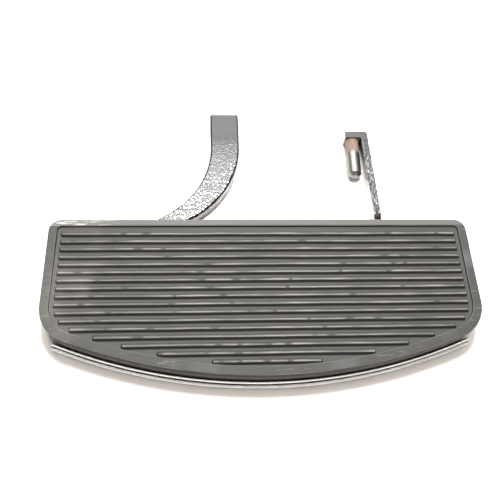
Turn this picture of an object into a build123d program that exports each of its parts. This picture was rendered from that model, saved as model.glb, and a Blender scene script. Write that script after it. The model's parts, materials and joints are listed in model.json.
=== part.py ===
from build123d import *
import math
import os

# Motorcycle rider floorboard: a ribbed rubber pad on a pressed steel pan, with a bright trim strip
# round the outboard rim and two mounting brackets that the board folds up on.
# X runs along the board, +Y points inboard (towards the motorcycle), +Z points up.
# All sizes are in millimetres. The rim and both brackets rest on Z = 0.

# Board outline, seen from above
inboard_half_length = 178.0     # half of the straight inboard edge, corners included
side_lean = 2.63                # degrees that each side leans out, going outboard
board_depth = 137.2             # inboard edge to the apex of the outboard arc
outboard_arc = 445.0            # radius of the long outboard arc
inboard_corner = 13.0
outboard_corner = 31.0

# Heights
board_height = 32.0
pad_thickness = 9.5
pan_gauge = 2.5

# Rubber pad
border_lip = 2.4                # height of the border's overhanging edge
undercut = 1.2                  # how far the pad's side and the pan sit in from that edge
border_inboard = 6.2
border_side = 7.4
border_outboard = 8.1
field_depth = 2.2               # the ribbed field lies this far below the border
edge_round = 0.9
rib_count = 17
rib_width = 3.4
rib_height = 2.0
rib_round = 0.9
first_rib = 12.8                # inboard edge to the centre of the first rib
last_rib = 12.4                 # centre of the last rib to the apex of the arc
rib_end_gap = 3.6               # rib end to the border
side_grooves = 3
groove_pitch = 1.9
groove_width = 0.8
groove_depth = 0.5
peg_radius = 3.4
peg_head_radius = 5.0
peg_tip_radius = 2.4
peg_head_height = 6.0
peg_clearance = 0.1
peg_middle = 30.0               # middle of the board to the inner pegs
peg_inboard_inset = 22.0        # inboard edge to the first row of pegs
peg_outboard_inset = 39.2       # last row of pegs to the apex of the arc

# Pressed steel pan
pan_bend = 1.8                  # radius over the pan's top edge
inboard_flange = 12.0           # drop of the flange along the inboard edge
notch_half = 27.0               # half width of the gap in that flange at each hinge

# Bright trim strip
trim_end_inset = 4.0            # half length of the board to the strip's ends
trim_bottom = 2.5
trim_height = 10.0
trim_proud = 3.0                # how far it stands out from the pad's border
trim_channel_width = 2.8
trim_channel_depth = 1.4
bead_round = 1.1
trim_stud_end = 39.0            # strip's end to the outer studs
trim_stud_middle = 48.0         # middle of the board to the inner studs
trim_stud_radius = 2.5
trim_stud_length = 9.5
trim_stud_clearance = 0.1
trim_washer_radius = 5.0
trim_washer_thickness = 1.0
trim_seat = 0.05                # the flat washers bridge the rim's curve by this much
trim_nut_flats = 8.0
trim_nut_height = 4.0

# Hinges under the pan
front_x = -80.0
rear_x = 106.6
pivot_inset = 8.0               # inboard edge to the hinge axis
boss_width = 20.0
boss_radius = 9.0
boss_roof_gap = 0.5             # top of the boss to the pan's underside
ear_gauge = 3.5
web_gauge = 3.0
web_start = 10.0                # hinge axis to the near edge of the web
hinge_length = 54.0             # hinge axis to the far end of the hinge
hinge_tail_height = 6.0
side_play = 0.05
washer_space = 1.8              # room for a washer at each end of the boss
washer_radius = 8.5
spring_gauge = 0.8
screw_offsets = (30.0, 44.0)    # hinge axis to the hinge screws
screw_radius = 3.0
screw_clearance = 0.1
screw_head_flats = 10.0
screw_head_height = 5.0

# Pivots
pivot_radius = 4.76             # three-eighths inch bolt
pivot_running = 0.06
pivot_hole_clearance = 0.1
bushing_radius = 6.35
bolt_head_flats = 14.3
bolt_head_height = 6.0
nut_height = 8.4
bolt_end = 1.2                  # thread showing past the nut
hex_chamfer = 0.6

# Front bracket arm
arm_reach = 121.5               # inboard edge to the arm's cut end
arm_thickness = 12.0
arm_left_x = -41.3
arm_right_x = -14.5
arm_bend_start = 86.0           # inboard edge to the start of the bend
arm_left_arc = 82.0
arm_right_arc = 86.0
arm_edge_round = 2.5
arm_end_corner = 3.0
neck_outer_round = 8.0
neck_inner_round = 3.0
heel_length = 21.0              # hinge axis to the end of the down stop
heel_width = 16.0
heel_bottom = 7.0
stop_gap = 0.2
mount_hole_radius = 3.3         # tapping size of a five-sixteenths inch thread
mount_hole_depth = 22.0
mount_hole_mouth = 1.0

# Rear bracket arm, a quarter inch plate on edge
plate_gauge = 6.35
plate_height = 16.0
neck_height = 12.0
neck_end = 6.0                  # inboard edge to where the plate starts to rise
plate_full = 14.0               # inboard edge to where it has its full height
knee = 8.0                      # inboard edge to where it starts to lean
plate_corner_x = 102.0
ear_inner = 93.5                # inboard edge to the inner face of the stud's ear
ear_tip_x = 84.2
ear_outer_round = 3.0
ear_inner_round = 0.8
ear_tip_round = 1.0

# Mounting stud, half an inch thick
stud_x = 91.3
stud_radius = 6.35
stud_length = 38.0
stud_chamfer = 3.0
spigot_radius = 4.76

# Places worked out from the sizes above. Y = 0 lies midway between the strip and the arm's end.
inboard_y = (board_depth + trim_proud - arm_reach) / 2
arc_centre_y = inboard_y - board_depth + outboard_arc
rib_pitch = (board_depth - first_rib - last_rib) / (rib_count - 1)
pan_top = board_height - pad_thickness
pan_under = pan_top - pan_gauge
pivot_y = inboard_y - pivot_inset
pivot_z = pan_under - boss_roof_gap - boss_radius
pan_arc = outboard_arc - undercut
trim_half_length = inboard_half_length - trim_end_inset
trim_stud_outer = trim_half_length - trim_stud_end
trim_stud_x = (-trim_stud_outer, -trim_stud_middle, trim_stud_middle, trim_stud_outer)
trim_mid_z = trim_bottom + trim_height / 2
boss_half = boss_width / 2
ear_radius = boss_radius + boss_roof_gap
ear_inside = boss_half + washer_space + 2 * side_play
ear_outside = ear_inside + ear_gauge
# The outer pegs stand midway between the rear hinge and the board's end
peg_outer = (rear_x + ear_outside + inboard_half_length) / 2
peg_first_y, peg_last_y = inboard_y - peg_inboard_inset, inboard_y - board_depth + peg_outboard_inset
peg_rows = (peg_first_y, (peg_first_y + peg_last_y) / 2, peg_last_y)
peg_places = [(x, y) for x in (-peg_outer, -peg_middle, peg_middle, peg_outer) for y in peg_rows]
web_under = pan_under - web_gauge
heel_top = web_under - stop_gap
hinges = {"front": front_x, "rear": rear_x}

os.makedirs("parts", exist_ok=True)


def save(piece, name):
    """Labels a finished piece and writes its file."""
    piece.part.label = name
    export_step(piece.part, f"parts/{name}.step")


def half_length(y, side, outboard):
    """Half the length at depth y of the outline drawn in by side and outboard: leaning side, corner or arc."""
    lean = math.radians(side_lean)
    arc = outboard_arc - outboard
    corner = outboard_corner - outboard
    side_x = inboard_half_length - side / math.cos(lean) + (inboard_y - y) * math.tan(lean)
    # The corner's centre lies a corner radius in from the side and from the arc.
    centre_y = arc_centre_y
    for _ in range(20):
        centre_x = (inboard_half_length + (inboard_y - centre_y) * math.tan(lean)
                    - (side + corner) / math.cos(lean))
        centre_y = arc_centre_y - math.sqrt((arc - corner) ** 2 - centre_x**2)
    if y >= centre_y:
        return side_x
    on_arc = math.sqrt(arc**2 - (arc_centre_y - y) ** 2)
    if on_arc < centre_x * arc / (arc - corner):
        return on_arc
    return centre_x + math.sqrt(corner**2 - (y - centre_y) ** 2)


def board_face(inboard=0.0, side=0.0, outboard=0.0):
    """The board's D outline, drawn in from its three edges."""
    lean = math.tan(math.radians(side_lean))
    top_y, low_y = inboard_y - inboard, inboard_y - board_depth - outboard_corner
    top_half = inboard_half_length - side + inboard * lean
    low_half = inboard_half_length - side + (inboard_y - low_y) * lean
    with BuildSketch() as face:
        with BuildLine():
            Polyline((-top_half, top_y), (top_half, top_y), (low_half, low_y), (-low_half, low_y), close=True)
        make_face()
        with Locations((0, arc_centre_y)):
            Circle(outboard_arc - outboard, mode=Mode.INTERSECT)
        fillet(face.vertices().group_by(Axis.Y)[-1], inboard_corner - max(inboard, side))
        fillet(face.vertices().group_by(Axis.Y)[0], outboard_corner - outboard)
    return face.sketch


def rim_plane(x):
    """A plane on the pan's outboard rim at x, facing inwards, at the middle height of the strip."""
    angle = math.asin(x / pan_arc)
    outwards = Vector(math.sin(angle), -math.cos(angle), 0)
    return Plane(origin=Vector(0, arc_centre_y, trim_mid_z) + outwards * pan_arc, z_dir=-outwards)


def pivot_plane(x):
    """A plane across the hinge axis at x, with the sketch's axes along Y and Z."""
    return Plane(origin=(x, pivot_y, pivot_z), x_dir=(0, 1, 0), z_dir=(1, 0, 0))


# Rubber pad: border, ribbed field, grooved side and moulded pegs, all one moulding
with BuildPart() as rubber_pad:
    with BuildSketch(Plane.XY.offset(board_height - border_lip)):
        add(board_face())
    extrude(amount=border_lip)
    fillet(rubber_pad.edges().group_by(Axis.Z)[-1], edge_round)
    with BuildSketch(Plane.XY.offset(pan_top)):
        add(board_face(undercut, undercut, undercut))
    extrude(amount=pad_thickness - border_lip)
    groove_top = board_height - border_lip - groove_pitch
    for i in range(side_grooves):
        with BuildSketch(Plane.XY.offset(groove_top - i * groove_pitch - groove_width)):
            add(board_face(undercut, undercut, undercut))
            inner = undercut + groove_depth
            add(board_face(inner, inner, inner), mode=Mode.SUBTRACT)
        extrude(amount=groove_width, mode=Mode.SUBTRACT)
    with BuildSketch(Plane.XY.offset(board_height)):
        add(board_face(border_inboard, border_side, border_outboard))
    extrude(amount=-field_depth, mode=Mode.SUBTRACT)
    for i in range(rib_count):
        rib_y = inboard_y - first_rib - i * rib_pitch
        rib_length = 2 * (half_length(rib_y - rib_width / 2, border_side, border_outboard) - rib_end_gap)
        with BuildPart(mode=Mode.PRIVATE) as rib:
            with BuildSketch(Plane.XY.offset(board_height - field_depth)):
                with Locations((0, rib_y)):
                    SlotOverall(rib_length, rib_width)
            extrude(amount=rib_height)
            fillet(rib.edges().group_by(Axis.Z)[-1], rib_round)
        add(rib.part)
    with BuildSketch(Plane.XY.offset(pan_top)):
        with Locations(*peg_places):
            Circle(peg_radius)
    extrude(amount=-pan_gauge)
    with Locations(*[(x, y, pan_under - peg_head_height / 2) for x, y in peg_places]):
        Cone(peg_tip_radius, peg_head_radius, peg_head_height)
save(rubber_pad, "rubber_pad")

# Pan: a tray with its rim turned down, notched at the hinges along the inboard edge
with BuildPart() as board_pan:
    with BuildSketch():
        add(board_face(undercut, undercut, undercut))
    extrude(amount=pan_top)
    fillet(board_pan.edges().group_by(Axis.Z)[-1], pan_bend)
    with BuildSketch():
        inner = undercut + pan_gauge
        add(board_face(inner, inner, inner))
    extrude(amount=pan_under, mode=Mode.SUBTRACT)
    # The flange stops short along the inboard edge, so that the board can fold
    with BuildSketch():
        with Locations((0, inboard_y)):
            Rectangle(2 * inboard_half_length + inboard_corner, 2 * pivot_inset)
    extrude(amount=pan_under - inboard_flange, mode=Mode.SUBTRACT)
    with BuildSketch():
        with Locations(*[(x, inboard_y) for x in hinges.values()]):
            Rectangle(2 * notch_half, 2 * pivot_inset)
    extrude(amount=pan_under, mode=Mode.SUBTRACT)
    with BuildSketch(Plane.XY.offset(pan_under)):
        with Locations(*peg_places):
            Circle(peg_radius + peg_clearance)
        with Locations(*[(x, pivot_y - offset_y) for x in hinges.values() for offset_y in screw_offsets]):
            Circle(screw_radius + screw_clearance)
    extrude(amount=pan_gauge, mode=Mode.SUBTRACT)
    with BuildSketch(*[rim_plane(x) for x in trim_stud_x]):
        Circle(trim_stud_radius + trim_stud_clearance)
    extrude(amount=2 * pan_gauge, both=True, mode=Mode.SUBTRACT)
save(board_pan, "board_pan")

# Trim strip: two beads with a channel between, carried along the outboard arc, with welded studs behind
trim_angle = math.asin(trim_half_length / (outboard_arc + trim_proud))
trim_width = undercut + trim_proud
bead_height = (trim_height - trim_channel_width) / 2
strip_start = Vector(-math.sin(trim_angle), -math.cos(trim_angle), 0)
with BuildPart() as trim_strip:
    section = Plane(origin=(0, arc_centre_y, trim_bottom), x_dir=strip_start, z_dir=strip_start.cross(Vector(0, 0, 1)))
    with BuildSketch(section) as trim_section:
        with Locations((pan_arc + trim_width / 2, trim_height / 2)):
            Rectangle(trim_width, trim_height)
        with Locations((pan_arc + trim_width - trim_channel_depth / 2, trim_height / 2)):
            Rectangle(trim_channel_depth, trim_channel_width, mode=Mode.SUBTRACT)
        fillet(trim_section.vertices().group_by(Axis.X)[-1], bead_round)
    revolve(axis=Axis((0, arc_centre_y, 0), (0, 0, 1)), revolution_arc=2 * math.degrees(trim_angle))
    with BuildSketch(*[rim_plane(x) for x in trim_stud_x]):
        Circle(trim_stud_radius)
    extrude(amount=trim_stud_length)
save(trim_strip, "trim_strip")

with BuildPart() as trim_washers:
    with BuildSketch(*[rim_plane(x).offset(pan_gauge + trim_seat) for x in trim_stud_x]):
        Circle(trim_washer_radius)
        Circle(trim_stud_radius, mode=Mode.SUBTRACT)
    extrude(amount=trim_washer_thickness)
save(trim_washers, "trim_washers")

with BuildPart() as trim_nuts:
    nut_seat = pan_gauge + trim_seat + trim_washer_thickness
    with BuildSketch(*[rim_plane(x).offset(nut_seat) for x in trim_stud_x]):
        RegularPolygon(trim_nut_flats / 2, 6, major_radius=False)
        Circle(trim_stud_radius, mode=Mode.SUBTRACT)
    extrude(amount=trim_nut_height)
save(trim_nuts, "trim_nuts")

# Each ear is round about the pivot, flat against the pan, and runs at a tangent to its tail's lower corner.
tail_corner = Vector(-hinge_length, ear_radius - hinge_tail_height)
tangent_turn = math.degrees(math.acos(ear_radius / tail_corner.length))
ear_sweep = 450 - math.degrees(math.atan2(tail_corner.Y, tail_corner.X)) - tangent_turn

# The hinges are alike: a pressed channel under the pan, its screws, the pivot bolt, nut, washers and bushing
for end, hinge_x in hinges.items():
    with BuildPart() as hinge:
        with BuildSketch(pivot_plane(hinge_x - ear_outside), pivot_plane(hinge_x + ear_inside)):
            with BuildLine():
                eye = CenterArc((0, 0), ear_radius, 90, -ear_sweep)
                Polyline(eye @ 1, tail_corner, (-hinge_length, ear_radius), eye @ 0)
            make_face()
            Circle(pivot_radius + pivot_hole_clearance, mode=Mode.SUBTRACT)
        extrude(amount=ear_gauge)
        with BuildSketch(Plane.XY.offset(web_under)):
            web_length = hinge_length - web_start
            with Locations((hinge_x, pivot_y - web_start - web_length / 2)):
                Rectangle(2 * ear_inside, web_length)
            with Locations(*[(hinge_x, pivot_y - offset_y) for offset_y in screw_offsets]):
                Circle(screw_radius + screw_clearance, mode=Mode.SUBTRACT)
        extrude(amount=web_gauge)
    save(hinge, f"{end}_hinge")

    with BuildPart() as hinge_screws:
        screw_places = [(hinge_x, pivot_y - offset_y) for offset_y in screw_offsets]
        with BuildSketch(Plane.XY.offset(web_under)):
            with Locations(*screw_places):
                Circle(screw_radius)
        extrude(amount=pan_top - web_under)
        with BuildSketch(Plane.XY.offset(web_under - screw_head_height)):
            with Locations(*screw_places):
                RegularPolygon(screw_head_flats / 2, 6, major_radius=False)
        extrude(amount=screw_head_height)
        chamfer(hinge_screws.edges().group_by(Axis.Z)[0], hex_chamfer)
    save(hinge_screws, f"{end}_hinge_screws")

    with BuildPart() as pivot_bolt:
        with BuildSketch(pivot_plane(hinge_x - ear_outside)):
            Circle(pivot_radius)
        extrude(amount=2 * ear_outside + nut_height + bolt_end)
        chamfer(pivot_bolt.edges().group_by(Axis.X)[-1], hex_chamfer)
        with BuildSketch(pivot_plane(hinge_x - ear_outside)):
            RegularPolygon(bolt_head_flats / 2, 6, major_radius=False)
        extrude(amount=-bolt_head_height)
        chamfer(pivot_bolt.edges().group_by(Axis.X)[0], hex_chamfer)
    save(pivot_bolt, f"{end}_pivot_bolt")

    with BuildPart() as pivot_nut:
        with BuildSketch(pivot_plane(hinge_x + ear_outside)):
            RegularPolygon(bolt_head_flats / 2, 6, major_radius=False)
        extrude(amount=nut_height)
        chamfer(pivot_nut.edges().group_by(Axis.X)[-1], hex_chamfer)
        with BuildSketch(pivot_plane(hinge_x + ear_outside)):
            Circle(pivot_radius)
        extrude(amount=nut_height, mode=Mode.SUBTRACT)
    save(pivot_nut, f"{end}_pivot_nut")

    with BuildPart() as flat_washer:
        with BuildSketch(pivot_plane(hinge_x - ear_inside)):
            Circle(washer_radius)
            Circle(pivot_radius + pivot_hole_clearance, mode=Mode.SUBTRACT)
        extrude(amount=washer_space)
    save(flat_washer, f"{end}_flat_washer")

    # A dished spring washer: its inner edge bears on the ear and its outer edge faces the boss
    with BuildPart() as spring_washer:
        inner_radius = pivot_radius + pivot_hole_clearance
        with BuildSketch(Plane(origin=(hinge_x + ear_inside, pivot_y, pivot_z), x_dir=(0, 0, 1), z_dir=(0, 1, 0))):
            with BuildLine():
                Polyline(
                    (inner_radius, 0),
                    (inner_radius, -spring_gauge),
                    (washer_radius, -washer_space),
                    (washer_radius, spring_gauge - washer_space),
                    close=True,
                )
            make_face()
        revolve(axis=Axis((hinge_x, pivot_y, pivot_z), (1, 0, 0)))
    save(spring_washer, f"{end}_spring_washer")

    with BuildPart() as bushing:
        with BuildSketch(pivot_plane(hinge_x - boss_half)):
            Circle(bushing_radius)
            Circle(pivot_radius + pivot_running, mode=Mode.SUBTRACT)
        extrude(amount=boss_width)
    save(bushing, f"{end}_bushing")

# Front arm: a forged bar that tapers round a wide bend into the hinge boss, with a heel as the down stop
arm_end_y = inboard_y + arm_reach
bend_y = inboard_y + arm_bend_start
neck_left, neck_right = front_x - boss_half, front_x + boss_half
left_turn = math.degrees(math.acos((neck_left - arm_left_x + arm_left_arc) / arm_left_arc))
right_turn = math.degrees(math.acos((neck_right - arm_right_x + arm_right_arc) / arm_right_arc))
with BuildPart() as front_arm:
    with BuildSketch() as arm_plan:
        with BuildLine():
            right_bend = CenterArc((arm_right_x - arm_right_arc, bend_y), arm_right_arc, 0, -right_turn)
            left_bend = CenterArc((arm_left_x - arm_left_arc, bend_y), arm_left_arc, 0, -left_turn)
            Polyline(right_bend @ 0, (arm_right_x, arm_end_y), (arm_left_x, arm_end_y), left_bend @ 0)
            Polyline(right_bend @ 1, (neck_right, pivot_y), (neck_left, pivot_y), left_bend @ 1)
        make_face()
        corners = arm_plan.vertices()
        fillet(corners.sort_by_distance(left_bend @ 1)[0], neck_outer_round)
        fillet(arm_plan.vertices().sort_by_distance(right_bend @ 1)[0], neck_inner_round)
        fillet(arm_plan.vertices().group_by(Axis.Y)[-1], arm_end_corner)
    extrude(amount=arm_thickness)
    flat_edges = front_arm.edges().group_by(Axis.Z)
    fillet(flat_edges[0] + flat_edges[-1], arm_edge_round)
    with BuildSketch(pivot_plane(neck_left)):
        Circle(boss_radius)
    extrude(amount=boss_width)
    with BuildSketch(Plane.XY.offset(heel_bottom)):
        with Locations((front_x, pivot_y - heel_length / 2)):
            Rectangle(heel_width, heel_length)
    extrude(amount=heel_top - heel_bottom)
    with BuildSketch(pivot_plane(neck_left)):
        Circle(bushing_radius)
    extrude(amount=boss_width, mode=Mode.SUBTRACT)
    end_plane = Plane(origin=((arm_left_x + arm_right_x) / 2, arm_end_y, arm_thickness / 2), z_dir=(0, -1, 0))
    with BuildSketch(end_plane):
        Circle(mount_hole_radius)
    extrude(amount=mount_hole_depth, mode=Mode.SUBTRACT)
save(front_arm, "front_arm")

# Rear arm: a plate on edge with an eye and a down stop at one end and a bent ear at the other
ear_outer = ear_inner + plate_gauge
half_plate = plate_gauge / 2
with BuildPart() as rear_arm:
    with BuildSketch() as plate_plan:
        with BuildLine():
            Polyline(
                (rear_x + half_plate, pivot_y - heel_length),
                (rear_x + half_plate, inboard_y + knee),
                (plate_corner_x + half_plate, inboard_y + ear_outer),
                (ear_tip_x, inboard_y + ear_outer),
                (ear_tip_x, inboard_y + ear_inner),
                (plate_corner_x - half_plate, inboard_y + ear_inner),
                (rear_x - half_plate, inboard_y + knee),
                (rear_x - half_plate, pivot_y - heel_length),
                close=True,
            )
        make_face()
        outside = (plate_corner_x + half_plate, inboard_y + ear_outer)
        inside = (plate_corner_x - half_plate, inboard_y + ear_inner)
        fillet(plate_plan.vertices().sort_by_distance(outside)[0], ear_outer_round)
        fillet(plate_plan.vertices().sort_by_distance(inside)[0], ear_inner_round)
        fillet(plate_plan.vertices().group_by(Axis.X)[0], ear_tip_round)
    extrude(amount=board_height)
    with BuildSketch(Plane.YZ):
        with BuildLine():
            Polyline(
                (pivot_y, 0),
                (inboard_y + ear_outer, 0),
                (inboard_y + ear_outer, plate_height),
                (inboard_y + plate_full, plate_height),
                (inboard_y + neck_end, neck_height),
                (pivot_y, neck_height),
                close=True,
            )
        make_face()
        with Locations((pivot_y, pivot_z)):
            Circle(boss_radius)
        with Locations((pivot_y - heel_length / 2, (heel_top + heel_bottom) / 2)):
            Rectangle(heel_length, heel_top - heel_bottom)
        with Locations((pivot_y, pivot_z)):
            Circle(bushing_radius, mode=Mode.SUBTRACT)
    extrude(amount=2 * rear_x, mode=Mode.INTERSECT)
    with BuildSketch(Plane(origin=(stud_x, inboard_y + ear_outer, plate_height / 2), z_dir=(0, -1, 0))):
        Circle(spigot_radius)
    extrude(amount=plate_gauge, mode=Mode.SUBTRACT)
save(rear_arm, "rear_arm")

# Mounting stud: its spigot fills the ear, and the stud points back at the board
with BuildPart() as mounting_stud:
    with BuildSketch(Plane(origin=(stud_x, inboard_y + ear_inner, plate_height / 2), z_dir=(0, -1, 0))):
        Circle(stud_radius)
    extrude(amount=stud_length)
    chamfer(mounting_stud.edges().group_by(Axis.Y)[0], stud_chamfer)
    with BuildSketch(Plane(origin=(stud_x, inboard_y + ear_inner, plate_height / 2), z_dir=(0, 1, 0))):
        Circle(spigot_radius)
    extrude(amount=plate_gauge)
save(mounting_stud, "mounting_stud")

print("inboard edge at Y", round(inboard_y, 3), "hinge axis at Y", round(pivot_y, 3), "Z", round(pivot_z, 3))
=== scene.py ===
"""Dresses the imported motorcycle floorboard: the photograph's camera, a bright studio, and its finishes."""
import json
import math

import bmesh
import bpy
import numpy as np
from mathutils import Matrix, Vector


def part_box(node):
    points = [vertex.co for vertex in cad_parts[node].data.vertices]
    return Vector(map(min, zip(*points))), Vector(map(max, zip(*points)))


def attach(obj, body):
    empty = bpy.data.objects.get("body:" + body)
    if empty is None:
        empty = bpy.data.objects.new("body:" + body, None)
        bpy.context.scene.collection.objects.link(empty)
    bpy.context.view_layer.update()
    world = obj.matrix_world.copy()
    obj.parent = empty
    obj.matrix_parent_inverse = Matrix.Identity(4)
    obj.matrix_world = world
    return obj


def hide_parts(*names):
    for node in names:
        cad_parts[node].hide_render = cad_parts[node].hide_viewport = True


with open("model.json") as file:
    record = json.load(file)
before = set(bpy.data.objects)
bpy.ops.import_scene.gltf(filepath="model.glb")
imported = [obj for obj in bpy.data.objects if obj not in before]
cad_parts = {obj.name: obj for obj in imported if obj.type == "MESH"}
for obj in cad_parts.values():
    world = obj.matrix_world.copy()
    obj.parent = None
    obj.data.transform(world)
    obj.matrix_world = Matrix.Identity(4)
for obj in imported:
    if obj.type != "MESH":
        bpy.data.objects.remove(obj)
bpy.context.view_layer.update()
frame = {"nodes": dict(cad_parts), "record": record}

# Lengths below are in millimetres, as in the CAD source, and are turned to metres when a mesh is made
MM = 0.001
pad_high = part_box("rubber_pad")[1]
strip_low, strip_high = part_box("trim_strip")
inboard_y = pad_high.y / MM
board_top = pad_high.z / MM
trim_proud = 3.0

# The board's outline, seen from above, and the steps that its stretches are drawn in
inboard_half_length = 178.0
side_lean = math.radians(2.63)
board_depth = (pad_high.y - strip_low.y) / MM - trim_proud
outboard_arc = 445.0
inboard_corner = 10.5
outboard_corner = 31.0
arc_centre_y = inboard_y - board_depth + outboard_arc
inboard_corner_steps, outboard_corner_steps, arc_steps = 14, 22, 60
side_steps, inboard_edge_steps = 26, 82

# The rubber pad
pad_thickness = 9.5
undercut = 1.2
border_lip = 2.4
border_inboard, border_side, border_outboard = 6.2, 7.4, 8.1
border_outer_round, border_inner_round, field_fillet = 0.9, 0.6, 0.45
border_wander, border_wander_period, border_wander_seed = 0.06, 60.0, 3
field_depth = 2.2
groove_count, groove_pitch, groove_width, groove_depth = 3, 1.9, 0.8, 0.5

# Its ribs
rib_count, rib_pitch, first_rib = 17, 7.0, 12.8
rib_width, rib_height, rib_end_gap = 3.4, 2.0, 3.6
rib_tilt, rib_flank_run = 0.35, 1.2
rib_least_steps, rib_end_steps = 12, 9
# Their crowns and lines wander slowly, and bruises lower the crowns. Crown values are shares of the height
crown_wander, crown_wander_period = 0.01, 35.0
line_wander, line_wander_period = 0.06, 70.0
bruise_count, bruise_depths, bruise_reaches = 4, (0.03, 0.14), (1.0, 3.0)
first_rib_seed, line_seed_step = 10, 50

# The trim strip
trim_half_length = 174.0
trim_bottom = strip_low.z / MM
trim_height = (strip_high.z - strip_low.z) / MM
bead_height, lower_dome, upper_dome, upper_bead_front = 3.4, 1.3, 1.1, 2.3
channel_floor, channel_back, channel_corner = 3.0, 1.5, 0.55
bead_edge = 0.1
bottom_bevel = 0.25
rim_slot_width, rim_slot_depth, rim_slot_lip = 0.9, 2.0, 0.2
trim_end_round, trim_end_size, trim_half_steps = 1.4, 0.7, 89
trim_stud_x = (-135.0, -48.0, 48.0, 135.0)
trim_stud_radius, trim_stud_length, trim_stud_pitch, trim_thread_depth = 2.5, 9.5, 0.8, 0.35
trim_stud_plain_end, trim_stud_sides, thread_steps = 0.4, 24, 4

# Steps of a rounded corner and of a bead's dome, and how a finished mesh is merged and shaded
corner_steps, dome_steps = 7, 13
merge_distance = 1e-7
sharp_angle = math.radians(38)


def piece_from_grid(name, grids, materials, wrap, face_materials=None):
    """One mesh from grids of points, where each quad joins neighbours in row and column.

    The last row joins the first one, and the last column the first one, where the two values of wrap say so.
    """
    points, quads, slots, start = [], [], [], 0
    for grid in grids:
        rows, columns = grid.shape[:2]
        index = np.arange(rows * columns).reshape(rows, columns) + start
        if wrap[0]:
            index = np.vstack([index, index[:1]])
        if wrap[1]:
            index = np.hstack([index, index[:, :1]])
        corners = np.stack([index[:-1, :-1], index[:-1, 1:], index[1:, 1:], index[1:, :-1]], axis=-1)
        quads.append(corners.reshape(-1, 4))
        if face_materials is not None:
            slots.append(np.repeat(face_materials[: corners.shape[0]], corners.shape[1]))
        points.append(grid.reshape(-1, 3))
        start += rows * columns
    mesh = bpy.data.meshes.new(name)
    mesh.from_pydata((np.concatenate(points) * MM).tolist(), [], np.concatenate(quads).tolist())
    for material in materials:
        mesh.materials.append(material)
    if face_materials is not None:
        mesh.polygons.foreach_set("material_index", np.concatenate(slots).astype(np.int32))
    shell = bmesh.new()
    shell.from_mesh(mesh)
    bmesh.ops.remove_doubles(shell, verts=shell.verts, dist=merge_distance)
    bmesh.ops.recalc_face_normals(shell, faces=shell.faces)
    shell.to_mesh(mesh)
    shell.free()
    mesh.polygons.foreach_set("use_smooth", np.ones(len(mesh.polygons), bool))
    mesh.set_sharp_from_angle(angle=sharp_angle)
    piece = bpy.data.objects.new(name, mesh)
    bpy.context.scene.collection.objects.link(piece)
    return piece


def turned_points(centre, radii, first, last, steps):
    """Points of a rounded corner: its centre plus its radii times the cosine and sine of an even turn."""
    angle = np.linspace(first, last, steps)
    return np.column_stack([centre[0] + radii[0] * np.cos(angle), centre[1] + radii[1] * np.sin(angle)])


def board_outline():
    """Points, outward normals and border widths round the board's D outline, made of arcs and lines.

    Each corner is its centre plus its radius times the outward normal, which turns evenly through it.
    """
    side = np.array([math.sin(side_lean), -math.cos(side_lean)])
    corner = np.array([
        inboard_half_length + inboard_corner * (math.tan(side_lean) - 1 / math.cos(side_lean)),
        inboard_y - inboard_corner,
    ])
    # The outboard corner's centre lies a corner radius inside the side and inside the arc
    start = np.array([inboard_half_length - outboard_corner / math.cos(side_lean), inboard_y - arc_centre_y])
    reach = outboard_arc - outboard_corner
    along = start @ side
    travel = -along + math.sqrt(along**2 - start @ start + reach**2)
    low_corner = start + travel * side
    turn = math.atan2(low_corner[1], low_corner[0])
    low_corner = low_corner + np.array([0, arc_centre_y])
    arcs = [
        (corner, inboard_corner, math.pi / 2, side_lean, inboard_corner_steps),
        (low_corner, outboard_corner, side_lean, turn, outboard_corner_steps),
        (np.array([0, arc_centre_y]), outboard_arc, turn, -math.pi / 2, arc_steps),
    ]
    normals, points = [], []
    for centre, radius, first, last, count in arcs:
        angle = np.linspace(first, last, count)
        normals.append(np.stack([np.cos(angle), np.sin(angle)], axis=1))
        points.append(centre + radius * normals[-1])
    straight = np.linspace(points[0][-1], points[1][0], side_steps)[1:-1]
    points.insert(1, straight)
    normals.insert(1, np.tile(normals[0][-1], (len(straight), 1)))
    half, half_normals = np.concatenate(points), np.concatenate(normals)
    mirror = np.array([-1.0, 1.0])
    left, left_normals = half[-2::-1] * mirror, half_normals[-2::-1] * mirror
    top = np.linspace(left[-1], half[0], inboard_edge_steps)[1:-1]
    outline = np.concatenate([half, left, top])
    outwards = np.concatenate([half_normals, left_normals, np.tile([0.0, 1.0], (len(top), 1))])
    # The border's width goes by the way that the outline faces: outboard, to the side or inboard
    facing = np.degrees(np.arcsin(outwards[:, 1]))
    knots = (-90, math.degrees(turn), math.degrees(side_lean), 90)
    width = np.interp(facing, knots, (border_outboard, border_outboard, border_side, border_inboard))
    return outline, outwards, width


def ripple(place, seed, period):
    """A smooth wander of about unit height: a sum of sines whose periods and phases come from a seed."""
    count, shortest, longest = 5, 0.6, 2.2
    draw = np.random.default_rng(seed)
    periods = period * draw.uniform(shortest, longest, count)
    phases = draw.uniform(0, 2 * math.pi, count)
    waves = np.sin(2 * math.pi * np.asarray(place)[..., None] / periods + phases)
    return waves.sum(axis=-1) / math.sqrt(count / 2)


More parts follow.
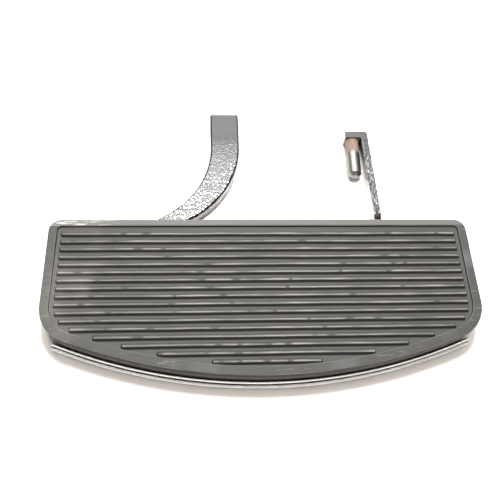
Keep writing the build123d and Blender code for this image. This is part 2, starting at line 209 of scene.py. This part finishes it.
def pad_side(base, lip):
    """The pad's side and the outer half of its border, as distances in from the outline and heights."""
    base_bevel, base_bevel_height = 0.15, 0.2
    side = [(undercut + base_bevel, base), (undercut, base + base_bevel_height)]
    # A groove's rounded edge: distances in from the side, and heights into the groove
    groove_edge = [(0.0, -0.1), (0.2, 0.05), (groove_depth, 0.2)]
    for level in reversed(range(groove_count)):
        top = lip - groove_pitch * (level + 1)
        low = top - groove_width
        side += [(undercut + inwards, low + rise) for inwards, rise in groove_edge]
        side += [(undercut + inwards, top - rise) for inwards, rise in reversed(groove_edge)]
    # The border stands out past the side, so its lower edge is a hollow corner and then a rounded one
    side += [(undercut + inwards, lip + rise) for inwards, rise in ((0.0, -0.25), (-0.2, -0.04))]
    side += [(inwards, lip + rise) for inwards, rise in ((0.35, 0.0), (0.1, 0.1), (0.0, 0.35))]
    round_centre = (border_outer_round, board_top - border_outer_round)
    side += [*turned_points(round_centre, [border_outer_round] * 2, math.pi, math.pi / 2, corner_steps)]
    return side


def border_edge(field):
    """The border's inner edge and its foot, as distances in from that edge and heights."""
    # The wall leans a little, from its top to its foot, where a fillet runs into the field
    wall_top, wall_foot, foot_height = -0.1, 0.05, 0.6
    round_centre = (wall_top - border_inner_round, board_top - border_inner_round)
    fillet_centre = (wall_foot + field_fillet, field + field_fillet)
    edge = [*turned_points(round_centre, [border_inner_round] * 2, math.pi / 2, 0, corner_steps)]
    edge += [(wall_foot, field + foot_height)]
    edge += [*turned_points(fillet_centre, [field_fillet] * 2, math.pi, 1.5 * math.pi, corner_steps)]
    return edge


def pad_body(outline, outwards, width):
    """The pad without its ribs: a side, lip and border profile carried round the outline.

    A profile point is a distance in from the outline and a height. Past the border's flat top the distance is
    measured from the border's inner edge, so that the border keeps its own width on each side of the board.
    Two flat fans close the pad: the first and the last ring, shrunk in steps to the middle of the board.
    """
    base = board_top - pad_thickness
    field = board_top - field_depth
    flat_inset = 2.0
    side = pad_side(base, board_top - border_lip) + [(flat_inset, board_top)]
    edge = [(-flat_inset, board_top)] + border_edge(field)
    place = np.concatenate([[0], np.cumsum(np.linalg.norm(np.diff(outline, axis=0), axis=1))])
    rings = []
    for inset, height in side:
        rings.append(np.column_stack([outline - outwards * inset, np.full(len(outline), height)]))
    for inset, height in edge:
        from_edge = outline - outwards * (width + inset)[:, None]
        rings.append(np.column_stack([from_edge, np.full(len(outline), height)]))
    rings = np.array(rings)
    # The moulding's border wanders a little, as soft rubber does
    high = np.clip((rings[..., 2] - field) / field_depth, 0, 1)
    wander = np.maximum(0, 1 + ripple(place, border_wander_seed, border_wander_period) / 2)
    rings[..., 2] -= border_wander * high * wander
    middle = np.array([0, inboard_y - board_depth / 2])
    shrink = np.array([0.66, 0.33, 0.0])
    fans = []
    for ring, height in ((rings[0], base), (rings[-1], field)):
        flat = middle + (ring[:, :2] - middle) * shrink[:, None, None]
        fans.append(np.concatenate([flat, np.full(flat.shape[:2] + (1,), height)], axis=-1))
    return np.concatenate([fans[0][::-1], rings, fans[1]])


def rib(centre_y, half_length, seed):
    """One rib: a rounded profile carried round a slot, at a distance out from the slot's centre line.

    The slot's ends are squarish: the superellipse |x|^4 + |y|^4 = 1, from roots of the sine and cosine.

    The height is a crown, a round shoulder, a flank and a small fillet into the field. The crown falls off
    evenly towards the inboard side, bruises lower it by a bell curve along the rib, and the outboard flank
    slopes.
    """
    half = rib_width / 2
    run = half_length - half
    # The profile: distances out as drawn for this half width, and heights as shares of the rib's
    drawn_half = 1.7
    across = np.array([0, 0.45, 0.8, 1.05, 1.28, 1.45, 1.56, 1.64, 1.74, 1.95, 2.2, 2.2, 0])
    across = across * half / drawn_half
    rise = np.array([1, 1, 0.985, 0.94, 0.84, 0.7, 0.5, 0.28, 0.12, 0.03, 0, -0.15, -0.15]) * rib_height
    # About one step for each millimetre of the straight run
    count = max(rib_least_steps, int(run))
    straight = np.linspace(-run, run, count)
    at_end = np.full(rib_end_steps, run)
    along = np.concatenate([straight, at_end, straight[::-1], -at_end])
    end = np.linspace(math.pi / 2, -math.pi / 2, rib_end_steps + 2)[1:-1]
    end_x = np.sqrt(np.abs(np.cos(end)))
    end_y = np.sign(np.sin(end)) * np.sqrt(np.abs(np.sin(end)))
    turn_x = np.concatenate([np.zeros(count), end_x, np.zeros(count), -end_x])
    turn_y = np.concatenate([np.ones(count), end_y, -np.ones(count), -end_y])
    draw = np.random.default_rng(seed)
    worn = 1 + crown_wander * ripple(along, seed, crown_wander_period)
    for bruise in draw.uniform(-run, run, bruise_count):
        depth = draw.uniform(*bruise_depths)
        reach = draw.uniform(*bruise_reaches)
        worn -= depth * np.exp(-((along - bruise) / reach) ** 2)
    sway = line_wander * ripple(along, seed + line_seed_step, line_wander_period)
    offset = across[:, None] * turn_y
    slope = rib_flank_run * (1 - np.clip(rise / rib_height, 0, 1))[:, None] * np.maximum(-turn_y, 0)
    # The crown's tilt starts half way to its outboard edge, and leaves the foot of the rib alone
    tilt_start, tilted_share = -0.5 * half, 0.4
    inboard = np.clip((offset - tilt_start) / (half - tilt_start), 0, 1)
    tilt = rib_tilt * inboard * (rise > tilted_share * rib_height)[:, None]
    grid = np.empty((len(across), len(along), 3))
    grid[..., 0] = along + across[:, None] * turn_x
    grid[..., 1] = centre_y + sway + offset - slope
    grid[..., 2] = board_top - field_depth + np.maximum(rise, 0)[:, None] * worn
    grid[..., 2] += np.minimum(rise, 0)[:, None] - tilt
    return grid


def strip_section():
    """The strip's section, as distances out from the pan's rim and heights, and each point's finish.

    The lower bead stands further out than the upper one, and between them runs a painted channel. A narrow
    slot parts the upper bead from the rim, with painted shade in that gap. A bead's face is half an ellipse.
    """
    front = undercut + trim_proud
    upper_low = trim_height - bead_height
    half_turn = (-math.pi / 2, math.pi / 2, dome_steps)
    bead_middle = bead_height / 2
    bottom = [(0, bottom_bevel), (bottom_bevel, 0)]
    lower = turned_points((front - lower_dome, bead_middle), (lower_dome, bead_middle), *half_turn)
    upper = turned_points((upper_bead_front - upper_dome, upper_low + bead_middle), (upper_dome, bead_middle),
                          *half_turn)
    channel = [(front - lower_dome - bead_edge, channel_floor)]
    channel += [(channel_back + channel_corner, channel_floor)]
    channel += [(channel_back, channel_floor), (channel_back, upper_low - bead_edge)]
    slot_floor = trim_height - rim_slot_depth
    slot = [(rim_slot_width, trim_height - rim_slot_lip), (rim_slot_width, slot_floor), (0, slot_floor)]
    section = np.concatenate([bottom, lower, channel, upper, slot])
    bright, black_paint_and_shade = 0, 1
    finish_index = np.full(len(section), bright)
    channel_start = len(bottom) + len(lower)
    finish_index[channel_start + 1 : channel_start + len(channel)] = black_paint_and_shade
    # The slot's black is painted shade in the gap between the strip and the rim
    finish_index[-len(slot) : -1] = black_paint_and_shade
    return section, finish_index


def strip_bar(section):
    """The trim strip: its section carried along the outboard arc, and rounded at its two ends.

    Near each end the section shrinks towards its middle, by a quarter circle, and closes there.
    """
    middle = np.array([(undercut + trim_proud) / 2, trim_height / 2])
    reach = math.asin(trim_half_length / (outboard_arc + trim_proud))
    turn = np.sin(np.linspace(0, math.pi / 2, corner_steps))
    short_of_end = 1 - np.sqrt(1 - turn**2)
    bend = np.linspace(-reach + trim_end_round / outboard_arc, 0, trim_half_steps)
    near = -reach + trim_end_round * short_of_end / outboard_arc
    angle = np.concatenate([[near[0]], near, bend[1:]])
    size = np.concatenate([[0.0], trim_end_size + (1 - trim_end_size) * turn, np.ones(len(bend) - 1)])
    angle = np.concatenate([angle, -angle[-2::-1]])
    size = np.concatenate([size, size[-2::-1]])
    shaped = middle + (section - middle)[:, None, :] * size[None, :, None]
    radius = outboard_arc - undercut + shaped[..., 0]
    grid = np.empty(shaped.shape[:2] + (3,))
    grid[..., 0] = radius * np.sin(angle)
    grid[..., 1] = arc_centre_y - radius * np.cos(angle)
    grid[..., 2] = trim_bottom + shaped[..., 1]
    return grid


def weld_stud(x):
    """One of the strip's studs: a thread profile turned about the stud's line, inwards from the strip.

    The radius along the stud is its outer radius less a triangle wave of the thread's pitch.
    """
    turn = math.asin(x / (outboard_arc - undercut))
    out = np.array([math.sin(turn), -math.cos(turn), 0])
    level = np.array([math.cos(turn), math.sin(turn), 0])
    start = np.array([0, arc_centre_y, trim_bottom + trim_height / 2]) + out * (outboard_arc - undercut)
    steps = np.arange(0, trim_stud_length - trim_stud_plain_end, trim_stud_pitch / thread_steps)
    wave = np.abs(steps / trim_stud_pitch % 1 - 0.5)
    end_radius = trim_stud_radius - 2 * trim_thread_depth
    radius = np.concatenate([[0], trim_stud_radius - 2 * trim_thread_depth * wave, [end_radius, 0]])
    along = np.concatenate([[0], steps, [trim_stud_length, trim_stud_length]])
    angle = np.linspace(0, 2 * math.pi, trim_stud_sides, endpoint=False)
    ring = np.cos(angle)[:, None] * level + np.sin(angle)[:, None] * np.array([0, 0, 1])
    return start - along[:, None, None] * out + radius[:, None, None] * ring[None, :, :]


def add_node(material, kind, inputs=None, stops=None, **settings):
    """Adds a node of that kind. Inputs are given by socket, as a value or as the output that feeds it.

    Stops are a colour ramp's places, each with its grey level, and settings are the node's own.
    """
    node = material.node_tree.nodes.new(kind)
    for name, value in settings.items():
        setattr(node, name, value)
    for socket, value in (inputs or {}).items():
        if isinstance(value, bpy.types.NodeSocket):
            material.node_tree.links.new(value, node.inputs[socket])
        else:
            node.inputs[socket].default_value = value
    if stops:
        ramp = node.color_ramp.elements
        while len(ramp) < len(stops):
            ramp.new(0.5)
        for element, (position, value) in zip(ramp, stops):
            element.position = position
            element.color = (value, value, value, 1)
    return node


def linear(hex_colour):
    """An sRGB hex colour as linear red, green, blue and alpha, by that standard's line and power."""
    parts = [int(hex_colour[i : i + 2], 16) / 255 for i in (1, 3, 5)]
    return tuple(c / 12.92 if c <= 0.04045 else ((c + 0.055) / 1.055) ** 2.4 for c in parts) + (1.0,)


def new_finish(name, colour, roughness, metallic=0.0):
    """A material with one Principled shader, and the Object coordinates that its patterns read."""
    material = bpy.data.materials.new(name)
    material.use_nodes = True
    shader = material.node_tree.nodes["Principled BSDF"]
    shader.inputs["Base Color"].default_value = linear(colour)
    shader.inputs["Roughness"].default_value = roughness
    shader.inputs["Metallic"].default_value = metallic
    place = add_node(material, "ShaderNodeTexCoord").outputs["Object"]
    return material, shader, place


def per_metre(millimetres):
    """A pattern's scale for a feature of that size, where coordinates are in metres."""
    return 1 / (millimetres * MM)


def between(start, end):
    """A map range's two inputs for an effect that grows from one place to another, given in millimetres."""
    return {"From Min": start * MM, "From Max": end * MM}


def rubber_marks(material, place, cloud):
    """Each mark's amount: painted flank shade, pale wear with painted highlight and sheen, front dust, a
    scrape.
    """
    # Where each mark begins and where it is full: by height, across the board and along it
    field = board_top - field_depth
    scuffed_heights = (board_top - 1.4, board_top)
    highlight_above, highlight_below = (board_top - 0.36, board_top - 0.26), (board_top - 0.08, board_top - 0.16)
    flank_above, flank_below = (field + 0.02, field + 0.3), (board_top - 0.45, board_top - 0.75)
    dust_and_sheen_border_y = (inboard_y - border_inboard, inboard_y - 4.5)
    front_end_x = (-118, -150)
    border_dust_and_sheen, front_dust = 0.42, 0.16
    split = add_node(material, "ShaderNodeSeparateXYZ", {"Vector": place})
    # Scuffs run along the ribs, so their pattern is stretched along X, and they fade below the crowns
    along_ribs = (0.12, 1.0, 1.0)
    stretched = add_node(material, "ShaderNodeMapping", {"Vector": place, "Scale": along_ribs})
    scuff = add_node(material, "ShaderNodeTexNoise", {
        "Vector": stretched.outputs[0], "Scale": per_metre(2.6), "Detail": 6.0, "Roughness": 0.7})
    marks = add_node(material, "ShaderNodeValToRGB", {"Fac": scuff.outputs[0]},
                     stops=[(0.56, 0.0), (0.72, 1.0)])
    patches = add_node(material, "ShaderNodeValToRGB", {"Fac": cloud.outputs[0]},
                       stops=[(0.42, 0.0), (0.68, 1.0)])
    high = add_node(material, "ShaderNodeMapRange", {
        "Value": split.outputs["Z"], **between(*scuffed_heights)})
    scuffed = add_node(material, "ShaderNodeMath", {0: marks.outputs[0], 1: patches.outputs[0]},
                       operation="MULTIPLY")
    scuffed = add_node(material, "ShaderNodeMath", {0: scuffed.outputs[0], 1: high.outputs[0]},
                       operation="MULTIPLY")
    # A painted highlight lightens the ribs' outboard edges, and the border's rounded edges, which lie at the
    # same height
    above = add_node(material, "ShaderNodeMapRange", {
        "Value": split.outputs["Z"], **between(*highlight_above)})
    below = add_node(material, "ShaderNodeMapRange", {
        "Value": split.outputs["Z"], **between(*highlight_below)})
    highlight_strength = add_node(material, "ShaderNodeMapRange", {
        "Value": cloud.outputs[0], "From Min": 0.36, "From Max": 0.6, "To Min": 0.3, "To Max": 1.0})
    edge = add_node(material, "ShaderNodeMath", {0: above.outputs[0], 1: below.outputs[0]},
                    operation="MULTIPLY")
    edge = add_node(material, "ShaderNodeMath", {0: edge.outputs[0], 1: highlight_strength.outputs[0]}, operation="MULTIPLY")
    # The pale mark is real wear from the scuffs together with the painted highlight on the edges
    worn = add_node(material, "ShaderNodeMath", {0: scuffed.outputs[0], 1: edge.outputs[0]},
                    operation="MAXIMUM")
    # Dust and a painted sheen lighten the border along the inboard edge
    inboard = add_node(material, "ShaderNodeMapRange", {
        "Value": split.outputs["Y"], "To Max": border_dust_and_sheen, **between(*dust_and_sheen_border_y)})
    worn = add_node(material, "ShaderNodeMath", {0: worn.outputs[0], 1: inboard.outputs[0]},
                    operation="MAXIMUM")
    # Painted shade darkens the ribs' flanks, low between the ribs, where they lie in shade
    above_field = add_node(material, "ShaderNodeMapRange", {
        "Value": split.outputs["Z"], **between(*flank_above)})
    below_crown = add_node(material, "ShaderNodeMapRange", {
        "Value": split.outputs["Z"], **between(*flank_below)})
    flank_shade = add_node(material, "ShaderNodeMath", {0: above_field.outputs[0], 1: below_crown.outputs[0]},
                     operation="MULTIPLY")
    # Dust lies thinly on the front end, and a bright scrape crosses the border at its inboard corner
    front_end = add_node(material, "ShaderNodeMapRange", {
        "Value": split.outputs["X"], **between(*front_end_x)})
    dust = add_node(material, "ShaderNodeMath", {0: front_end.outputs[0], 1: patches.outputs[0]},
                    operation="MULTIPLY")
    dust = add_node(material, "ShaderNodeMath", {0: dust.outputs[0], 1: front_dust}, operation="MULTIPLY")
    scrape = add_node(material, "ShaderNodeTexNoise", {
        "Vector": stretched.outputs[0], "Scale": per_metre(1.6), "Detail": 3.0, "Roughness": 0.6})
    scrape = add_node(material, "ShaderNodeValToRGB", {"Fac": scrape.outputs[0]},
                      stops=[(0.5, 0.0), (0.6, 1.0)])
    scrape = add_node(material, "ShaderNodeMath", {0: scrape.outputs[0], 1: inboard.outputs[0]},
                      operation="MULTIPLY")
    scrape = add_node(material, "ShaderNodeMath", {0: scrape.outputs[0], 1: front_end.outputs[0]},
                      operation="MULTIPLY")
    return flank_shade, worn, dust, scrape


def black_rubber():
    """Moulded synthetic rubber: matt, faintly grained from the mould, scuffed grey, with a painted highlight
    on its high edges.
    """
    material, shader, place = new_finish("moulded_black_rubber", "#303031", 0.6)
    link = material.node_tree.links.new
    shader.inputs["Specular IOR Level"].default_value = 0.42
    grain = add_node(material, "ShaderNodeTexNoise", {
        "Vector": place, "Scale": per_metre(0.5), "Detail": 3.0})
    cloud = add_node(material, "ShaderNodeTexNoise", {
        "Vector": place, "Scale": per_metre(38), "Detail": 4.0})
    shade = add_node(material, "ShaderNodeMix", {
        "Factor": cloud.outputs[0], "A": linear("#2b2b2a"), "B": linear("#383837")}, data_type="RGBA")
    flank_shade, worn, dust, scrape = rubber_marks(material, place, cloud)
    # Each mark lies over the ones before it: painted flank shade, wear with painted highlight and sheen,
    # dust, scrape
    for mark, colour in ((flank_shade, "#1d1d1d"), (worn, "#777572"), (dust, "#8f8b84"), (scrape, "#f0eee6")):
        shade = add_node(material, "ShaderNodeMix", {
            "Factor": mark.outputs[0], "A": shade.outputs["Result"], "B": linear(colour)}, data_type="RGBA")
    link(shade.outputs["Result"], shader.inputs["Base Color"])
    rough = add_node(material, "ShaderNodeMapRange", {
        "Value": cloud.outputs[0], "To Min": 0.54, "To Max": 0.72})
    link(rough.outputs[0], shader.inputs["Roughness"])
    bump = add_node(material, "ShaderNodeBump", {
        "Height": grain.outputs[0], "Strength": 0.35, "Distance": 0.15 * MM})
    link(bump.outputs[0], shader.inputs["Normal"])
    return material


def gloss_paint():
    """Gloss black enamel over forged steel: a deep black under a clear skin that ripples like orange peel."""
    material, shader, place = new_finish("gloss_black_enamel", "#0e0e0f", 0.14)
    link = material.node_tree.links.new
    shader.inputs["Specular IOR Level"].default_value = 0.75
    shader.inputs["Coat Weight"].default_value = 1.0
    shader.inputs["Coat IOR"].default_value = 1.7
    shader.inputs["Coat Roughness"].default_value = 0.04
    peel = add_node(material, "ShaderNodeTexNoise", {
        "Vector": place, "Scale": per_metre(2.4), "Detail": 1.0})
    # The skin is smooth at the arm's cut end and rough towards the hinge
    smooth_from, rough_from = inboard_y + 96, inboard_y + 60
    split = add_node(material, "ShaderNodeSeparateXYZ", {"Vector": place})
    rough = add_node(material, "ShaderNodeMapRange", {
        "Value": split.outputs["Y"], "To Min": 0.04, **between(smooth_from, rough_from)},
        interpolation_type="SMOOTHSTEP")
    height = add_node(material, "ShaderNodeMath", {0: peel.outputs[0], 1: rough.outputs[0]},
                      operation="MULTIPLY")
    bump = add_node(material, "ShaderNodeBump", {
        "Height": height.outputs[0], "Strength": 1.0, "Distance": 0.6 * MM})
    link(bump.outputs[0], shader.inputs["Normal"])
    link(bump.outputs[0], shader.inputs["Coat Normal"])
    return material


def satin_paint():
    """Satin black enamel on pressed sheet steel: an even dark grey sheen with a fine dry spray."""
    material, shader, place = new_finish("satin_black_enamel", "#161617", 0.4)
    spray = add_node(material, "ShaderNodeTexNoise", {
        "Vector": place, "Scale": per_metre(0.8), "Detail": 3.0})
    bump = add_node(material, "ShaderNodeBump", {
        "Height": spray.outputs[0], "Strength": 0.25, "Distance": 0.1 * MM})
    material.node_tree.links.new(bump.outputs[0], shader.inputs["Normal"])
    return material


def chrome_plate():
    """Decorative chrome over drawn brass: a mirror with faint long hairlines from wiping."""
    material, shader, place = new_finish("chrome_plate", "#e6e7e8", 0.16, 1.0)
    wiped = add_node(material, "ShaderNodeMapping", {"Vector": place, "Scale": (0.08, 1.0, 1.0)})
    hairs = add_node(material, "ShaderNodeTexNoise", {
        "Vector": wiped.outputs[0], "Scale": per_metre(1.2), "Detail": 4.0})
    rough = add_node(material, "ShaderNodeMapRange", {
        "Value": hairs.outputs[0], "To Min": 0.2, "To Max": 0.32})
    material.node_tree.links.new(rough.outputs[0], shader.inputs["Roughness"])
    return material


def zinc_plate():
    """Zinc plated steel of small fasteners: dull silver, mottled from the bath."""
    material, shader, place = new_finish("zinc_plate", "#a9abad", 0.35, 1.0)
    bath = add_node(material, "ShaderNodeTexNoise", {
        "Vector": place, "Scale": per_metre(3.0), "Detail": 5.0})
    rough = add_node(material, "ShaderNodeMapRange", {
        "Value": bath.outputs[0], "To Min": 0.28, "To Max": 0.5})
    material.node_tree.links.new(rough.outputs[0], shader.inputs["Roughness"])
    return material


def stud_steel():
    """Turned bare steel, matt grey, with brown rust that creeps out from the ear."""
    bare_steel = "#8b8a88"
    material, shader, place = new_finish("rusty_turned_steel", bare_steel, 0.42, 1.0)
    link = material.node_tree.links.new
    # The ear holds the stud's inboard end, and the rust comes in between these distances from that end
    rust_from, rust_full = 24, 12
    stud_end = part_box("mounting_stud")[1].y / MM
    split = add_node(material, "ShaderNodeSeparateXYZ", {"Vector": place})
    along = add_node(material, "ShaderNodeMapRange", {
        "Value": split.outputs["Y"], **between(stud_end - rust_from, stud_end - rust_full)})
    blotch = add_node(material, "ShaderNodeTexNoise", {
        "Vector": place, "Scale": per_metre(3.0), "Detail": 6.0, "Roughness": 0.65})
    spread = add_node(material, "ShaderNodeMath", {0: along.outputs[0], 1: blotch.outputs[0]},
                      operation="ADD")
    rust = add_node(material, "ShaderNodeValToRGB", {"Fac": spread.outputs[0]},
                    stops=[(0.72, 0.0), (0.98, 1.0)])
    tint = add_node(material, "ShaderNodeTexNoise", {
        "Vector": place, "Scale": per_metre(1.4), "Detail": 4.0})
    browns = add_node(material, "ShaderNodeMix", {
        "Factor": tint.outputs[0], "A": linear("#4d3c33"), "B": linear("#9a8577")}, data_type="RGBA")
    skin = add_node(material, "ShaderNodeMix", {
        "Factor": rust.outputs[0], "A": linear(bare_steel), "B": browns.outputs["Result"]}, data_type="RGBA")
    link(skin.outputs["Result"], shader.inputs["Base Color"])
    metal = add_node(material, "ShaderNodeMath", {0: 1.0, 1: rust.outputs[0]}, operation="SUBTRACT")
    link(metal.outputs[0], shader.inputs["Metallic"])
    rough = add_node(material, "ShaderNodeMapRange", {
        "Value": rust.outputs[0], "To Min": 0.42, "To Max": 0.85})
    link(rough.outputs[0], shader.inputs["Roughness"])
    bump = add_node(material, "ShaderNodeBump", {
        "Height": tint.outputs[0], "Strength": 0.5, "Distance": 0.2 * MM})
    link(bump.outputs[0], shader.inputs["Normal"])
    return material


def oiled_bronze():
    """Oil-filled sintered bronze: warm, dull and finely porous."""
    material, shader, place = new_finish("sintered_bronze", "#a9814f", 0.42, 1.0)
    pores = add_node(material, "ShaderNodeTexNoise", {
        "Vector": place, "Scale": per_metre(0.4), "Detail": 2.0})
    bump = add_node(material, "ShaderNodeBump", {
        "Height": pores.outputs[0], "Strength": 0.3, "Distance": 0.1 * MM})
    material.node_tree.links.new(bump.outputs[0], shader.inputs["Normal"])
    return material


def white_table():
    """A matt white table top, without a pattern, because it is only the stage."""
    return new_finish("white_table", "#f4f3f1", 0.9)[0]


def softbox(name, centre, size, radiance, colour):
    """A rectangular light that looks straight down at the table. Its place and size are in metres.

    Its radiance is in the units in which the table comes out white.
    """
    light = bpy.data.lights.new(name, "AREA")
    light.shape = "RECTANGLE"
    light.size, light.size_y = size
    light.energy = radiance * math.pi * size[0] * size[1]
    light.color = colour
    lamp = bpy.data.objects.new(name, light)
    lamp.location = centre
    bpy.context.scene.collection.objects.link(lamp)


# Finishes on the CAD nodes that stay, by the record's material slot
finishes = {
    "black_rubber": black_rubber(),
    "satin_black_paint": satin_paint(),
    "gloss_black_paint": gloss_paint(),
    "bright_chrome": chrome_plate(),
    "zinc_steel": zinc_plate(),
    "bare_steel": stud_steel(),
    "bearing_bronze": oiled_bronze(),
}
for subpart in frame["record"]["subparts"]:
    node_mesh = frame["nodes"][subpart["node"]].data
    node_mesh.materials.clear()
    node_mesh.materials.append(finishes[subpart["material_slot"]])

# The pad, whose ribs stop short of the border at the level of their outboard edge
outline, outwards, border_width = board_outline()
inner_edge = outline - outwards * border_width[:, None]
right_edge = inner_edge[inner_edge[:, 0] >= 0]
edge_x, edge_y = right_edge[np.argsort(right_edge[:, 1])].T
rib_rows = inboard_y - first_rib - rib_pitch * np.arange(rib_count)
rib_ends = np.interp(rib_rows - rib_width / 2, edge_y, edge_x) - rib_end_gap
rib_grids = [rib(y, x, first_rib_seed + i) for i, (y, x) in enumerate(zip(rib_rows, rib_ends))]
pad_grid = pad_body(outline, outwards, border_width)
pad = piece_from_grid("ribbed_pad", [pad_grid], [finishes["black_rubber"]], wrap=(False, True))
ribs = piece_from_grid("pad_ribs", rib_grids, [finishes["black_rubber"]], wrap=(False, True))
for piece in (pad, ribs):
    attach(piece, "board")
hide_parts("rubber_pad")

# The trim strip, and the weld studs that hold it
section, section_finishes = strip_section()
strip = piece_from_grid("trim_bar", [strip_bar(section)],
                        [finishes["bright_chrome"], finishes["satin_black_paint"]],
                        wrap=(True, False), face_materials=section_finishes)
studs = piece_from_grid("trim_weld_studs", [weld_stud(x) for x in trim_stud_x], [finishes["zinc_steel"]],
                        wrap=(False, True))
for piece, slot in ((strip, "bright_chrome"), (studs, "zinc_steel")):
    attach(piece, "board")
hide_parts("trim_strip")

# The table, in metres
table_reach = 4.0
table = bpy.data.meshes.new("table_top")
table_corners = [(x * table_reach, y * table_reach, 0) for x, y in ((-1, -1), (1, -1), (1, 1), (-1, 1))]
table.from_pydata(table_corners, [], [(0, 1, 2, 3)])
table.materials.append(white_table())
table_top = bpy.data.objects.new("table_top", table)
bpy.context.scene.collection.objects.link(table_top)

# Studio light: the front arm's near half mirrors the overhead box, and its far half the dimmer panel
softbox("overhead_softbox", (-0.02, 0.37, 1.2), (0.86, 0.94), 5.6, (1.0, 0.99, 0.975))
softbox("far_panel", (0.0, 1.12, 1.2), (1.8, 0.52), 2.0, (0.97, 0.985, 1.0))
softbox("back_light", (0.0, 1.85, 1.2), (1.8, 0.9), 13.0, (0.99, 0.995, 1.0))
softbox("front_fill", (0.0, -1.0, 1.1), (2.6, 0.9), 1.15, (1.0, 0.91, 0.81))
# The key light is small, so that the board's edge throws a shadow on the table with a short soft rim
softbox("key_light", (-0.02, 0.28, 1.25), (0.16, 0.16), 237.0, (1.0, 0.99, 0.97))
# A dim warm room fills in the rest
room = bpy.data.worlds.new("studio")
room.use_nodes = True
room_light = room.node_tree.nodes["Background"]
room_light.inputs["Color"].default_value = (1.0, 0.9, 0.82, 1)
room_light.inputs["Strength"].default_value = 0.22
bpy.context.scene.world = room

# The photograph's camera: fitted to the ends of the ribs, in the image of 500 by 500 pixels
photo_azimuth, photo_elevation, photo_roll = -0.1966, 1.1347, 0.1743
camera_distance = 671.52
look_at_x, look_at_from_inboard = -10.66, 28.93
look_at = Vector((look_at_x, inboard_y - look_at_from_inboard, board_top)) * MM
back = Vector((math.sin(photo_azimuth) * math.cos(photo_elevation),
               -math.cos(photo_azimuth) * math.cos(photo_elevation), math.sin(photo_elevation)))
level = Vector((math.cos(photo_azimuth), math.sin(photo_azimuth), 0))
rise = back.cross(level)
across = math.cos(photo_roll) * level + math.sin(photo_roll) * rise
upwards = back.cross(across)
lens = bpy.data.cameras.new("photo_camera")
lens.lens, lens.sensor_width = 57.6, 36.0
camera = bpy.data.objects.new("photo_camera", lens)
camera.matrix_world = Matrix.Translation(look_at + back * camera_distance * MM) @ Matrix(
    (across, upwards, back)).transposed().to_4x4()
bpy.context.scene.collection.objects.link(camera)
bpy.context.scene.camera = camera
bpy.context.scene.view_settings.view_transform = "Standard"
